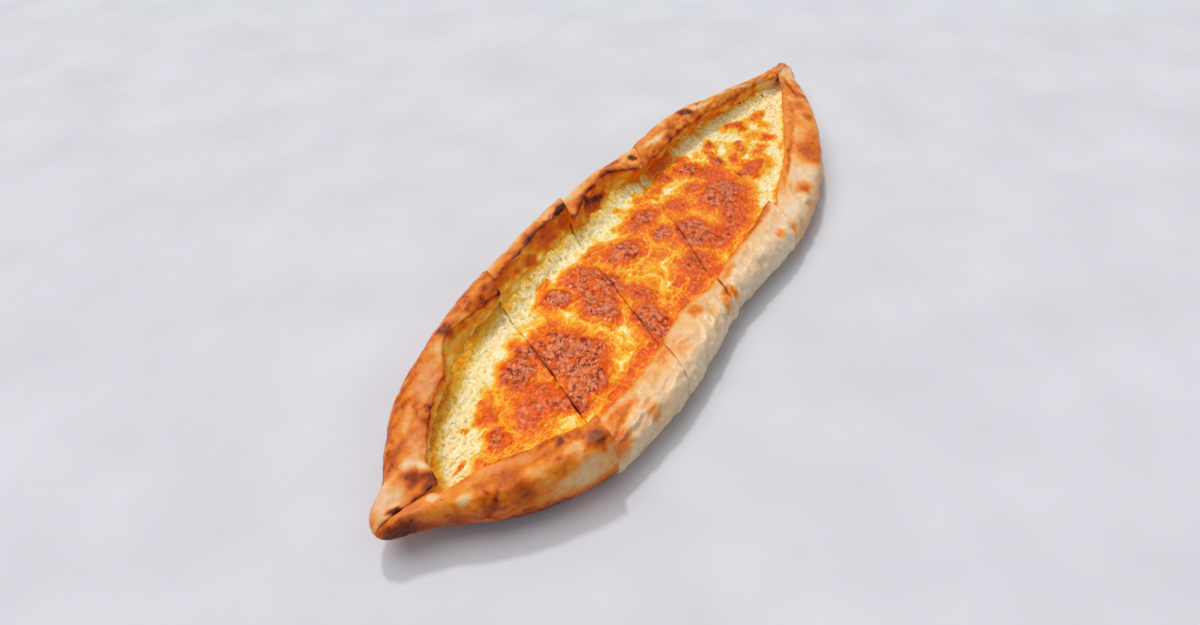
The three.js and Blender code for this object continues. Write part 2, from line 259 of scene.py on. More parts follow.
LEFT_RIMS = [
    rim([
        (-208, 12, 21, 20, 12), (-187, 30, 23, 21.5, 31), (-178, 23.5, 24.5, 22.5, 24.5),
        (-163, 22, 26, 24, 21), (-145, 20, 27, 25, 19.5), (-125, 9.5, 26.5, 25.5, 16),
        (-107, 14.5, 28, 25, 15.5), (-90, 18, 28.5, 24, 15.5),
    ], tones=(0.74, 0.58, 0.6, 0.35), ragged=0.9, rosy=0.2, gloss=0.45, mottled=1.6, streaked=0.1),
    rim([
        (-78, 12, 27, 26, 19), (-46, 10.5, 27.5, 26.5, 18.5), (-12, 10, 29, 28, 16),
    ], tones=(0.84, 0.28, 0.44, 0.42), ragged=1.2, rosy=0.3, gloss=0.6, streaked=0.1),
    rim([
        (-17, 18, 26, 24.5, 19), (2, 11.5, 27, 25.5, 19), (20, 9.5, 27, 25.5, 15), (38, 20, 26.5, 23.5, 15),
    ], tones=(0.82, 0.28, 0.38, 0.5), ragged=1, rosy=0.25, gloss=0.6, streaked=0.1),
    rim([
        (44, 20, 26.5, 23, 15.5), (105, 18, 28, 24, 15),
    ], tones=(0.66, 0.41, 0.38, 0.42), ragged=0.6, rosy=0.15, gloss=0.6, streaked=0.18),
    rim([
        (108, 17, 28, 24, 14), (130, 13, 27.5, 23.5, 11.5), (150, 9, 26.5, 22.5, 10),
        (168, 8, 25, 21.5, 8.5), (180, 11, 24, 20.5, 9.5), (202, 8, 19.5, 18, 8),
    ], tones=(0.54, 0.46, 0.4, 0.4), ragged=0.4, rosy=0.05, gloss=0.7, streaked=0.18),
]
RIGHT_RIMS = [
    rim([
        (-208, 6, 21, 20, 6), (-188, 16, 23, 22, 20), (-172, 22, 25, 23.5, 18.5),
        (-150, 20, 28, 26.5, 19), (-137, 16, 30, 28, 17),
    ], tones=(0.44, 0.61, 0.65, 0.46), ragged=0.5, rosy=-0.1, gloss=0.5, mottled=1.6),
    rim([
        (-130, 20, 20, 17.5, 19), (-91, 21.5, 20.5, 17, 20),
    ], tones=(0.46, 0.14, 0.09, 0.46), ragged=0.4, rosy=0.4, gloss=0.9, mottled=0.3, folds=LONG_FOLDS),
    rim([
        (-80, 21.5, 19.5, 16.5, 20), (-56, 23, 20.5, 17, 22), (-28, 17, 18.5, 16.5, 16),
    ], tones=(0.46, 0.12, 0.07, 0.46), ragged=0.5, rosy=0.4, gloss=1, mottled=0.3, folds=ROUND_FOLDS),
    rim([
        (-32, 15.5, 20, 17, 14.5), (9, 21, 21, 17, 20), (32, 24, 20, 18, 23),
    ], tones=(0.5, 0.08, 0.06, 0.46), ragged=0.5, rosy=0.5, gloss=1, mottled=0.3, folds=ROUND_FOLDS),
    rim([
        (34, 21, 19, 17, 20), (47, 18.5, 19, 16.5, 17.5), (60, 22.5, 20, 18, 21),
        (113, 25, 22.5, 20.5, 23.5), (153, 22, 23.5, 21.5, 20), (178, 15, 21.5, 20, 14),
        (202, 7, 18.5, 17.5, 7),
    ], tones=(0.5, 0.24, 0.26, 0.4), ragged=0.4, rosy=0.15, gloss=0.5, folds=ROUND_FOLDS),
]
SLICES = [{"left": left, "right": right} for left, right in zip(LEFT_RIMS, RIGHT_RIMS)]

# Domes of the cheese: x, y, half length, half width, turn in degrees and height
BLISTERS = [
    (-154, -1, 7, 6, 0, 1.4), (-146, 10, 6, 5, 60, 1.2), (-131, -6, 15, 11, 10, 1.4),
    (-119, 13, 11, 9, 20, 1.9), (-99, 3, 18, 14, 40, 2.1), (-106, -17, 16, 10, 10, 1.9),
    (-69, 25, 8.5, 8, 0, 1.9), (-63, 3, 14, 9, 70, 1.8), (-46, 21, 10, 8, 70, 1.4),
    (-61, -26, 15, 9, 50, 1.8), (-45, -12, 10, 7, 60, 1.3), (-21, 12, 13, 9, -10, 1.7),
    (8, 17, 13, 8, 0, 1.4), (10, -14, 14, 12, 45, 1.5), (64, 16, 10, 7, -30, 1.5),
    (48, -13, 18, 14, 0, 1.7), (99, 0, 8.5, 7, 20, 1.3), (82, -18, 13, 8, -10, 1.6),
    (121, 12, 10, 7, -40, 1.4), (140, 4, 9, 5, 5, 1.1),
]

# Browned patches of the cheese: x, y, half length, half width, turn in degrees and how dark the middle is
BROWNED = [
    (-119, 12, 10, 9, 20, 0.9), (-108, 19, 9, 4, 60, 0.85), (-131, -5, 15, 10, 10, 0.74),
    (-154, -1, 6, 5, 0, 0.8), (-146, 10, 5, 5, 0, 0.7), (-139, 16, 3.5, 3, 0, 0.6),
    (-121, -17, 6, 10, 60, 0.78), (-140, -12, 7, 5, 0, 0.62), (-104, 14, 6, 8, 0, 0.84),
    (-99, 2, 15, 12, 40, 0.9), (-90, -8, 9, 9, 0, 0.95), (-107, -16, 16, 10, 10, 0.88),
    (-121, -22, 6, 4, 0, 0.86), (-92, 17, 10, 5, 0, 0.62), (-69, 25, 8.5, 8, 0, 0.86),
    (-62, 36, 3.5, 3, 0, 0.66), (-63, 3, 14, 8, 75, 0.9), (-55, 18, 12, 5, 75, 0.8),
    (-100, -33, 8, 4, 0, 0.66), (-86, -32, 7, 4, 0, 0.66), (-115, -33, 7, 3, 0, 0.64),
    (-46, 22, 7, 9, 0, 0.8), (-28, 27, 7, 5, 0, 0.62), (-21, 13, 12, 8, -10, 0.84),
    (-48, 6, 11, 8, 60, 0.8), (-45, -11, 9, 7, 60, 0.76), (-61, -26, 14, 9, 55, 0.9),
    (-27, -23, 5, 3.5, 0, 0.7), (-28, -33, 8, 4, 0, 0.72), (-44, -34, 7, 4, 20, 0.7),
    (-12, -25, 12, 9, 0, 0.74), (8, 17, 12, 7, 0, 0.82), (2, 2, 7, 6, 0, 0.84), (11, -13, 13, 12, 45, 0.84),
    (13, -27, 12, 7, 0, 0.76), (-12, -36, 7, 4, 0, 0.7), (50, 25, 5, 4.5, 0, 0.74), (58, 34, 10, 4, 0, 0.7),
    (64, 16, 9, 7, -30, 0.84), (72, 25, 4.5, 3.5, 0, 0.64), (48, 6, 6, 5, 0, 0.74), (29, 6, 8, 8, 0, 0.72),
    (50, -12, 18, 14, 0, 0.84), (33, -27, 14, 8, 0, 0.76), (67, 4, 7, 11, 0, 0.72),
    (81, 7, 10, 3.5, 55, 0.94), (95, 18, 6, 3, 25, 0.78), (98, -2, 5.5, 4, 20, 0.74),
    (87, -4, 6, 3, 40, 0.74), (103, -12, 6, 3, 20, 0.72), (119, -11, 4.5, 4, 0, 0.76),
    (121, 11.5, 8, 4.5, -40, 0.78), (140, 3.5, 7.5, 3.4, 5, 0.72), (117, -3, 5, 4, 0, 0.58),
    (84, -18, 12, 7, -12, 0.72), (132, -4, 3.5, 3, 0, 0.62), (10, 34, 3, 2.5, 0, 0.55),
    (24, 31, 4, 3, 0, 0.5), (38, 24, 5, 3, 30, 0.56), (-156, 14, 2, 1.5, 0, 0.5),
    (-172, 4.5, 3, 1.2, 20, 0.48), (-75, -34, 5, 3, 20, 0.72), (76, -14, 5, 3.6, -12, 0.92),
    (104, 1, 2.6, 2, 0, 0.9),
]

# Pale patches, where the shreds of cheese still show: the same measures, without how dark
PALE = [
    (-178, 8, 12, 9, 0), (-165, 15, 16, 12, 20), (-148, 30, 20, 14, 35), (-130, 36, 18, 14, 20),
    (-112, 40, 20, 14, 5), (-90, 41, 20, 12, 0), (-73, 40, 14, 8, 0), (-52, 41, 16, 9, 0),
    (-30, 40, 16, 8, 0), (-13, 33, 5, 8, 0), (0, 36, 12, 7, 0), (18, 38, 14, 7, 0), (30, 35, 7, 5, 0),
    (44, 33.5, 5, 3, 0), (40, 17, 5, 2, -10), (88, 28, 12, 6, -15), (108, 18, 8, 10, 30),
    (114, 27, 12, 5, -15), (130, 19, 12, 6, -25), (147, 12, 18, 7, -15), (168, 4, 20, 8, 10),
    (150, -4, 22, 7, 15), (132, -13, 16, 5, 25), (66, -25, 6, 9, 20), (84, -30, 22, 4.5, 8),
    (104, -22, 14, 4, 20), (57, -36, 8, 5, 10), (29, -12, 3, 9, 10), (108, 7, 5, 5, 0), (128, 1, 4, 5, 0),
    (94, 8, 7, 2.5, 35), (84, 24, 8, 3, 10), (112, -8, 4, 4, 0), (93, -9, 4, 1.5, 30),
]

# Yellow strips, melted but hardly browned
YELLOW = [
    (-79, -13, 3, 12, 0), (-79, 12, 3.5, 9, 0), (-145, -2, 2.5, 10, -10), (-138, -15, 5, 3.5, 0),
    (-107, 29, 9, 4, 20), (-39, 1, 3.5, 11, 10), (-35, -14, 5, 9, 0), (-12, 22, 4, 6, 0),
    (-70, -18, 5, 9, -30), (-133, -24, 8, 3, 40), (-90, -27, 9, 3, 10), (-93, 24, 10, 3, 0),
    (52, 12, 8, 3, 10), (76, 30, 6, 3, 0), (-28, -6, 6, 4, 0), (-60, -12, 4, 5, 0), (-118, -29, 8, 2, 0),
    (36, 1, 3, 6, 0), (-160, 3, 4, 3, 0), (-20, -12, 6, 4, 0), (108, 2, 22, 14, 0), (82, 18, 12, 8, 40),
    (76, 8, 4, 7, 0), (28, -10, 4, 11, 0), (40, 17, 12, 5, 0),
]

# Marks on the crust: the middle in x, y, z, the half length along the turn, the half width, the turn in
# degrees, how brown, how sharp its edge is (0 soft, 1 crisp) and how pinkish
CRUST_MARKS = [
    # the near slice's left rim, from its far end to the tip
    (-122, 49.5, 26.5, 4.5, 4, 40, 0.78, 0.3, 0.8), (-134, 44, 27, 9, 3, 40, 0.34, 0.2, 0.4),
    (-150, 37, 26.5, 12, 6.5, 38, 0.38, 0.3, 1), (-169.5, 31.3, 25.2, 9, 2, 33, 0.36, 0.2, 0.4),
    (-175, 21, 23.8, 7, 4.5, 40, 0.46, 0.3, 1), (-184, 16.5, 23, 6, 5, 40, 0.34, 0.2, 0.7),
    (-184.4, 14, 22.8, 7, 2.6, -65, 0.12, 0.2, 0.6), (-189, 13, 22.5, 5, 3.2, 20, 0.8, 0.3, 1),
    (-202, 14, 21, 10, 8, 20, 0.2, 0.1, 1), (-203.5, 18, 15, 10, 4, 20, 0.36, 0.1, 1),
    # below the near crease
    (-200, 2.5, 20.5, 7, 5, -45, 0.5, 0.2, 1), (-189, -9, 21, 13, 6, -42, 0.42, 0.1, 0.1),
    (-192, -0.5, 22.3, 3.4, 2, -45, 0.2, 0.3, 0.8), (-187.5, -12, 22.5, 3.6, 2, -45, 0.24, 0.2, 0.2),
    (-207, 4, 14, 9, 5, -45, 0.9, 0.2, 0.6), (-194, -9, 12, 14, 5, -42, 0.7, 0.1, 0.3),
    (-203.8, 9.5, 19.8, 3.6, 1.6, -40, 1, 0.5, 0.6), (-170, -32, 5, 16, 5, -38, 0.76, 0.1, 0.3),
    # the near slice's right rim
    (-180, -14.5, 24, 6, 2, -45, 0.66, 0.1, 0.1), (-168, -18, 25, 14, 2.6, -42, 0.4, 0.3, 1),
    (-171, -21, 23, 10, 4, -40, 0.68, 0, 0), (-172.3, -28.8, 21.5, 7.5, 5, -40, 0.74, 0, 0.1),
    (-165, -33.5, 24, 6.5, 4.5, -35, 0.4, 0.1, 0.3), (-149.5, -46, 19.5, 12, 6.5, -35, 0.24, 0.1, 0.6),
    (-160, -41, 16, 13, 3.6, -33, 0.28, 0, 0.5), (-150, -38.3, 28, 6.5, 2.4, -35, 0.28, 0.2, 0.3),
    (-158, -38.5, 25.5, 6, 2, -35, 0.56, 0.1, 0.1), (-141.9, -43.8, 29, 4.6, 5.5, 30, 0.86, 0.2, 0.4),
    (-153, -50, 8, 12, 5, -30, 0.5, 0.1, 0.7), (-140, -52, 20, 2.5, 6, 0, 0.3, 0.1, 0.8),
    # the right rims of the second to the fourth slice
    (-133.5, -48.5, 19.8, 8.5, 6.5, 30, 0.5, 0.2, 0.8), (-120, -42.5, 19.6, 10, 3.8, -12, 0.54, 0.2, 0.2),
    (-112.5, -53.5, 19, 5.5, 3.6, 60, 0.38, 0.1, 0.5), (-93, -44.5, 19.6, 9, 2.6, -8, 0.28, 0.1, 0.2),
    (-83, -43, 19.2, 6, 3.5, 0, 0.44, 0.2, 0.3), (-75, -47, 19.3, 8, 6, 20, 0.28, 0.2, 0.7),
    (-50.5, -43, 19.7, 5.2, 3.4, 20, 0.54, 0.4, 0.1), (-61, -46.5, 19.9, 6, 3, 20, 0.24, 0.1, 0.2),
    (-37.6, -54, 18.4, 2.2, 5.5, -30, 0.42, 0.2, 0.3), (-46, -50, 20, 3, 5, -30, 0.24, 0.1, 0.3),
    (-30.5, -52.3, 19.8, 4.4, 4.2, 40, 0.52, 0.3, 0.1), (-17, -45, 19.4, 8, 2.4, 8, 0.42, 0.1, 0.2),
    (31, -41, 18.8, 22, 3, 2, 0.58, 0.4, 0.2), (22.6, -57.6, 20.4, 4, 3.2, 20, 0.46, 0.3, 0.2),
    (34.1, -61, 16.8, 4, 3, 40, 0.4, 0.3, 0.2),
    # the far slice's right rim
    (50, -53, 19, 17, 10, 30, 0.12, 0, 0.6), (74, -51, 20.5, 20, 9, 25, 0.11, 0.2, 0.8),
    (132, -32, 21, 24, 9, 33, 0.38, 0.1, 0.1), (104, -42, 21.2, 17, 9.5, 25, 0.52, 0, 0.1),
    (107, -41, 21.8, 9, 8, 60, 0.52, 0, 0.2), (98, -46, 20.8, 10, 5.5, 40, 0.54, 0, 0.3),
    (67.2, -53.6, 20.4, 6, 4.6, 20, 0.52, 0.1, 0.4), (66, -54.4, 20.2, 3, 2.4, 20, 0.6, 0, 0.3),
    (92, -33.3, 20.8, 30, 1.9, 17, 0.42, 0.4, 0), (120, -24.6, 22, 14, 2.6, 22, 0.42, 0.3, 0),
    (146, -12.5, 22.6, 13, 3.4, 33, 0.42, 0.2, 0.3), (98, -33.6, 21, 38, 0.9, 16.5, 0.6, 0.2, 0.2),
    (144, -17.2, 22.8, 11, 0.9, 30, 0.58, 0.2, 0.4), (204, 12, 17, 7, 7, 0, 0.5, 0, 0.6),
    (113, -33, 22, 7, 4.6, 20, 0.24, 0.1, 0.4), (118, -40.5, 22.5, 5.5, 3, 35, 0.5, 0.2, 0.2),
    (136, -31, 23, 5, 2.4, 33, 0.64, 0.1, 0.4), (147, -21, 23.2, 7, 4, 40, 0.54, 0.2, 0.5),
    (129, -24, 22.4, 9, 4, 30, 0.44, 0.1, 0.3), (165, -8.5, 22.4, 15, 5.5, 38, 0.52, 0, 0),
    # The thin dark mark at x 170 is the far crease: browned, with painted shade where the left dough wraps
    # over it, and a groove in its relief
    (170, -6.5, 22, 17, 1, 38, 0.7, 0.3, 0.4), (160, -18, 21, 7, 3.4, 38, 0.66, 0.1, 0.5),
    (176, -8, 20, 8, 3.6, 38, 0.5, 0.1, 0.3), (199, 12.8, 20, 4.5, 2.4, 10, 0.6, 0.2, 0.6),
    (196, 6, 18, 7, 4, 30, 0.26, 0.1, 0.6),
    # the left rims of the second to the fifth slice
    (-22, 52.3, 28, 6.5, 2.2, -2, 0.96, 0.5, 0.5), (-38, 49.8, 20.5, 10, 4.5, 5, 0.62, 0.3, 0),
    (-57, 48, 19.6, 5, 3.2, 5, 0.66, 0.2, 0.9), (-24, 48.5, 21, 6, 3.5, 0, 0.66, 0.2, 0),
    (3, 45.3, 20.5, 14, 3, -5, 0.74, 0.4, 1), (-2, 44.8, 17, 9, 3, -5, 0.68, 0.4, 1),
    (7, 45.5, 23, 11, 1.8, -5, 0.86, 0.6, 1), (42.2, 42.3, 26, 3.2, 2.6, 20, 0.9, 0.5, 0.6),
    (31.4, 50, 26.6, 6, 3, -10, 0.66, 0.2, 0.9), (101, 37, 27.3, 5.6, 3.4, -25, 0.93, 0.4, 0.7),
    (57, 47, 26, 5, 2.4, -10, 0.5, 0.2, 0.3), (74, 45, 26.5, 4.5, 2.6, -10, 0.48, 0.2, 0.3),
    # The pale narrow streaks at tone 0.12 to 0.16 along the crests, from x 66 to 150, are painted highlights
    (66, 40, 25, 14, 2, -10, 0.12, 0.2, 0.2), (90, 40, 26.5, 5, 2, -20, 0.5, 0.2, 0.3),
    (112, 33, 27, 8, 1.8, -25, 0.14, 0.2, 0.2), (132, 28.5, 26.5, 9, 1.4, -30, 0.16, 0.3, 0.1),
    (150, 20.5, 26, 10, 1.2, -30, 0.16, 0.3, 0.1),
]

# How brown the cheese is, from 0 pale to 1 black, and what a light and a deep patch add to that
MELTED = 0.53
YELLOWED = 0.31
UNBROWNED = 0.05
LIGHTLY_BROWNED = 0.06
DEEPLY_BROWNED = 0.28
DEEPER = (0.6, 0.9)  # from light to deep, by how dark its middle is
DARKEST = 0.88

# How brown a patch is at least and at most before that is added, up to one x and past another
RING_LEAST = (0.45, 0.36)
RING_MOST = (0.52, 0.42)
RING_CHANGES = (86, 98)

# Where a patch starts and where it is full, as shares of its radius, and the fine lighter outline round it
YELLOW_EDGE = (1.5, 0.5)
PALE_EDGE = (1.5, 0.8)
RING_EDGE = (1.55, 1.15)
CORE_EDGE = (1.25, 0.55)
OUTLINE_STARTS = (1.82, 1.70)
OUTLINE_ENDS = (1.48, 1.60)
OUTLINE_LIGHTER = 0.18

# The sizes and heights of the cheese's relief in millimetres
LUMP = 4.6
LUMP_HEIGHT = 1.1
CRUMB = 2.3
CRUMB_HEIGHT = 0.8
STRING_HEIGHT = 0.55
WRINKLE_HEIGHT = 1.1
SHRED_HEIGHT = 0.6
SWELL_HEIGHT = 0.5
RELIEF_FADE = 6.5  # how far from a wall the relief is full

# How the cheese creeps up the inner walls, in millimetres, and by what share that varies
CHEESE_CLIMB = {"left": 4.6, "right": 2}
CLIMB_WIDTH = 10
CLIMB_SPREAD = 0.4

# How brown and how wide the golden strip of the pale cheese at a wall is, up to one x and past another:
# partly cheese stained at the crust, partly painted shade in the corner
GOLDEN = (0.38, 0.26)
GOLDEN_WIDTH = (8.5, 5)
GOLDEN_CHANGES = (-110, -70)
GOLDEN_UNTIL = 160

# The crust's noise starts from these seeds. Widths on a section run from 0 at the lip to 8 in the middle.
SIDE_SEED = {"left": 40, "right": 45}
LIP_BAND = {"left": 1.8, "right": 0.8}  # where the brown of the lip comes and goes
LIP_SPREAD = {"left": 0.24, "right": 0.15}  # and by how much
TORN = 0.6  # a lip browner than this is torn
DARK_FLAP = 0.45
BROWN_BANDS = {"dark": 0.4, "torn": 1.3, "plain": 0.9}  # how wide the brown along the lip is
NEAR_PINCH_TONE = 0.62
FAR_INNER_WALL = [(158, 174, 0.06), (174, 181, 0.28)]  # from x to x it turns this brown
GROOVE_WIDTH = 1.1  # a mark with a smaller half width is a groove as well
DOTS = 0.16  # how much browner the small dots are

# The crust's relief in millimetres, and on the far slice the share of the folds past one x and up to another
SWELLS = 0.45
DENTS = 0.25
PORES = {"outer": 0.34, "inner": 0.8}
FOLD_DEPTH = 2.8
FINE_DEPTH = 1.3
FOLD_LIFT = 0.9
FOLD_SOFTNESS = 0.003
FAR_FOLDS = 0.4
FAR_FOLDS_FADE = (115, 80)

# Black specks on the far slice's inner wall and on the cheese: x, y, z and half width
SPECKS = [(145, 18.8, 16.5, 0.9), (149, 17.6, 14.4, 1.1), (163.6, 10, 12.6, 0.9), (-19.1, 1.7, 12.7, 0.7)]
SPECK_EDGE = (1.3, 0.8)

# Painted shade along the cuts where the cheese is browned: how near the cut it reaches, and how dark it is
CUT_SHADE_EDGE = (2.2, 0.2)
CUT_SHADE_DEPTH = 0.7


def side_measures(rims, side, x):
    """The measures of one side of a slice's section at x: distances in from its edge, and heights"""
    m = SimpleNamespace(inward=-1 if side == "left" else 1, base=UNDERSIDE(x), opened=HOLLOW(x))
    m.edge_y = LEFT_EDGE(x) if side == "left" else RIGHT_EDGE(x)
    m.reach = (CREASE_Y(x) - m.edge_y) * m.inward
    m.fold = np.minimum(rims[side].fold(x), m.reach - CREASE)
    m.crest = rims[side].crest(x)
    m.lip = rims[side].lip(x)
    m.foot = mix(m.fold + CLOSED_FOOT * CREASE, np.minimum(rims[side].foot(x), m.reach - CREASE), m.opened)
    m.floor = mix(m.lip - CREASE_DEPTH, FLOOR, m.opened)
    m.level = mix(m.lip - CLOSED_LEVEL * CREASE_DEPTH, CHEESE_LEVEL, m.opened)
    return m


def wander(m, rims, side, x):
    """Lets the lip wander a little, as torn and baked dough does"""
    line = on_plane(x, 0 * x + m.inward * SIDES_APART)
    ragged = rims[side].ragged * m.opened
    m.fold = m.fold + ragged * rough(line, LIP_BITES, seed=3)
    m.lip = m.lip + LIP_SWAY * ragged * noise(line, LIP_WAVES, seed=5)
    m.crest = m.crest + CREST_SWAY * ragged * noise(line, CREST_WAVES, seed=6)
    far_closed = smooth(x, *FAR_CLOSING)
    ridge = (rims["left"].crest(x) + rims["right"].crest(x)) / 2 + RIDGE
    m.lip = mix(m.lip, ridge, far_closed)
    m.fold = mix(m.fold, m.reach - SEAM, far_closed)
    return m


def outer_controls(m):
    rise = m.crest - m.base
    crest_in = np.minimum(CREST_IN, IN_SHARE * m.fold)
    turn_in = np.minimum(TURN_IN, IN_SHARE * m.reach)
    return [
        (m.fold, m.lip),
        (mix(m.fold, crest_in, 0.4), mix(m.lip, m.crest, 0.8)),
        (crest_in, m.crest),
        (0.2 * crest_in, m.base + SHOULDER * rise),
        (0 * rise, m.base + WIDEST * rise),
        (0.3 * turn_in, m.base + HEEL * rise),
        (turn_in, m.base),
        (mix(turn_in, m.reach, 0.45), m.base),
        (m.reach, m.base),
    ]


def inner_controls(m):
    under = np.minimum(LIP, 0.5 * (m.lip - m.floor))
    corner = np.minimum(m.foot + CORNER * m.opened, m.reach - 0.3 * CREASE)
    return [
        (m.fold, m.lip),
        (mix(m.fold, m.foot, 0.15), m.lip - under),
        (mix(m.fold, m.foot, 0.7), mix(m.lip - under, m.level, 0.55)),
        (m.foot, mix(m.level, m.floor, 0.1)),
        (mix(m.foot, corner, 0.3), mix(m.level, m.floor, 0.75)),
        (corner, m.floor),
        (mix(corner, m.reach, 0.3), m.floor),
        (mix(corner, m.reach, 0.65), m.floor),
        (m.reach, m.floor),
    ]


def half_section(rims, side, skin, x, w):
    """y and z on half a section, from w = 0 at the lip to 8 in the middle, smooth round the lip"""
    m = wander(side_measures(rims, side, x), rims, side, x)
    outer, inner = outer_controls(m), inner_controls(m)
    run, facing = (outer, inner) if skin == "outer" else (inner, outer)
    mirrored = (2 * m.reach - run[-2][0], run[-2][1])
    controls = [facing[1], *run, mirrored]
    segment = np.minimum(w.astype(int), len(run) - 2)
    s = w - segment
    columns = np.arange(len(w))
    place = []
    for axis in (0, 1):
        values = np.stack([np.broadcast_to(control[axis], x.shape) for control in controls])
        before, start, end, after = (values[segment + k, :, columns].T for k in range(4))
        start_slope = limited(start - before, end - start)
        end_slope = limited(end - start, after - end)
        place.append(hermite(start, end, start_slope, end_slope, s))
    return round_tip(x, m.edge_y + m.inward * place[0], place[1])


def round_tip(x, y, z):
    near = x < 0
    left = np.where(near, x - NEAR_TIP_X, FAR_TIP_X - x)
    reach = np.clip(left / TIP_ROUNDING, 0, 1)
    scale = np.maximum(np.sqrt(1 - (1 - reach) ** 2), TIP_BLUNT)
    return mix(TIP_Y, y, scale), mix(np.where(near, NEAR_TIP_Z, FAR_TIP_Z), z, scale)


def slice_span(index, near_end, far_end):
    before = CUTS[index - 1] if index > 0 else None
    after = CUTS[index] if index < len(CUTS) else None
    fade = 1 if before and after else SLANT_FADE
    start = before[0] if before else near_end
    end = after[0] if after else far_end

    def slant(share):
        near = before[1] * (1 - share) ** fade if before else 0
        far = after[1] * share**fade if after else 0
        return near + far

    return start, end, slant


def stations(start, end):
    """Places along a slice, as shares of its length: even, with extra ones at the cuts and at a tip"""
    length = end - start
    even = np.linspace(0, length, int(length / ALONG_STEP))
    ends = np.array(END_STEPS)
    inside = even[(even > ends[-1]) & (even < length - ends[-1])]
    return np.concatenate([ends, inside, (length - ends)[::-1]]) / length


def cut_wander(cut, y, z):
    """How far a cut strays from its straight line, and its half width, which both of its faces share"""
    line = np.stack([y, z, np.full_like(y, CUTS_APART * cut)], axis=-1)
    stray = CUT_WANDER * (noise(line, 16, 91) + 0.5 * noise(line, 5, 92))
    half_width = KERF + KERF_SPREAD * noise(line, 9, 93)
    half_width = half_width * mix(1, KERF_NARROWED, smooth(y, *KERF_NARROWS))
    for gaping, middle, half_long, extra in GAPES:
        if gaping == cut:
            half_width = half_width + extra * smooth(np.abs(y - middle) / half_long, 1, 0)
    return stray, half_width


def sweep(index, near_end, far_end, section):
    """A grid of points [station, place in the section] and how far along the slice each station is. Each
    section slants with the cuts. section(x) gives y and z for a grid of x."""
    start, end, slant = slice_span(index, near_end, far_end)
    shares = stations(start, end)
    middle = mix(start, end, shares)[:, None]
    lean = slant(shares)[:, None] + 0 * middle
    y = 0 * middle
    for _ in range(SLANT_PASSES + 1):
        x = middle + lean * y
        y, z = section(x)
    x = x + 0 * y
    distance = shares * (end - start)
    for cut, away, inward in ((index - 1, distance, 1), (index, distance[-1] - distance, -1)):
        if 0 <= cut < len(CUTS):
            stray, half_width = cut_wander(cut, y, z)
            fading = np.exp(-away / CUT_REACH)[:, None]
            x = x + fading * (stray + inward * half_width)
    return np.stack([x, y, z], axis=-1), distance


def grid_normals(points):
    """Unit normals of a grid of points, from its two directions"""
    along = np.gradient(points, axis=0)
    across = np.gradient(points, axis=1)
    normal = np.cross(along, across)
    return normal / np.maximum(np.linalg.norm(normal, axis=-1, keepdims=True), 1e-9)


def on_plane(x, y):
    return np.stack([x, y, 0 * x], axis=-1)


def shifted(points, *moves):
    """Points moved by noise. A move is how far, how large its bumps are, and a seed for each axis."""
    moved = points.copy()
    for amount, size, *seeds in moves:
        for axis, seed in enumerate(seeds):
            moved[..., axis] += amount * noise(points, size, seed)
    return moved


def along_and_across(dx, dy, half_long, half_wide, turn):
    """How far a place is from a mark's middle along its turn and across it, as shares of its radii"""
    angle = math.radians(turn)
    along = (dx * math.cos(angle) + dy * math.sin(angle)) / half_long
    return along, (dy * math.cos(angle) - dx * math.sin(angle)) / half_wide


def patches(x, y, marks):
    """For each elliptic mark, how far a place is from its middle, as a share of its radius, and the rest"""
    for mark_x, mark_y, half_long, half_wide, turn, *rest in marks:
        yield np.hypot(*along_and_across(x - mark_x, y - mark_y, half_long, half_wide, turn)), rest


def cheese_height(x, y):
    aside = smooth(y, *CHEESE_DROP_Y)
    height = CHEESE_LEVEL - CHEESE_SIDE_DROP * aside
    for far, (tall,) in patches(x, y, BLISTERS):
        height = height + tall * np.maximum(0, 1 - far**2) ** DOME_POWER
    return height


def cheese_toast(x, y):
    """How brown the cheese is at each place, how pale and shredded, and how browned, each from 0 to 1"""
    flat = on_plane(x, y)
    wandering = shifted(flat, (2.8, 9, 11, 13), (1.3, 4, 12, 14), (0.4, 2, 18, 19))
    wx, wy = wandering[..., 0], wandering[..., 1]
    toast = MELTED + 0.09 * rough(flat, 10, 15)
    for far, _ in patches(wx, wy, YELLOW):
        toast = mix(toast, YELLOWED, 0.8 * smooth(far, *YELLOW_EDGE))
    pale = np.zeros_like(x)
    for far, _ in patches(wx, wy, PALE):
        pale = np.maximum(pale, smooth(far, *PALE_EDGE))
    toast = mix(toast, UNBROWNED + 0.06 * noise(flat, 5, 17), pale)
    ring, outline, core, baked = (np.zeros_like(x) for _ in range(4))
    for far, (depth,) in patches(wx, wy, BROWNED):
        deep = smooth(depth, *DEEPER)
        inside = smooth(far, *CORE_EDGE)
        ring = np.maximum(ring, smooth(far, *RING_EDGE))
        outline = np.maximum(outline, smooth(far, *OUTLINE_STARTS) * smooth(far, *OUTLINE_ENDS))
        core = np.maximum(core, inside * mix(0.3, 1, deep))
        baked = np.maximum(baked, inside * mix(LIGHTLY_BROWNED, DEEPLY_BROWNED, deep))
    toast = toast - OUTLINE_LIGHTER * outline * (1 - ring) * (1 - pale)
    later = smooth(x, *RING_CHANGES)
    toast = mix(toast, np.clip(toast, mix(*RING_LEAST, later), mix(*RING_MOST, later)), ring) + baked
    toast = toast + core * (0.20 * rough(flat, 7, 20, 2) + 0.06 * noise(flat, 2.2, 36))
    return toast, pale * (1 - ring), core


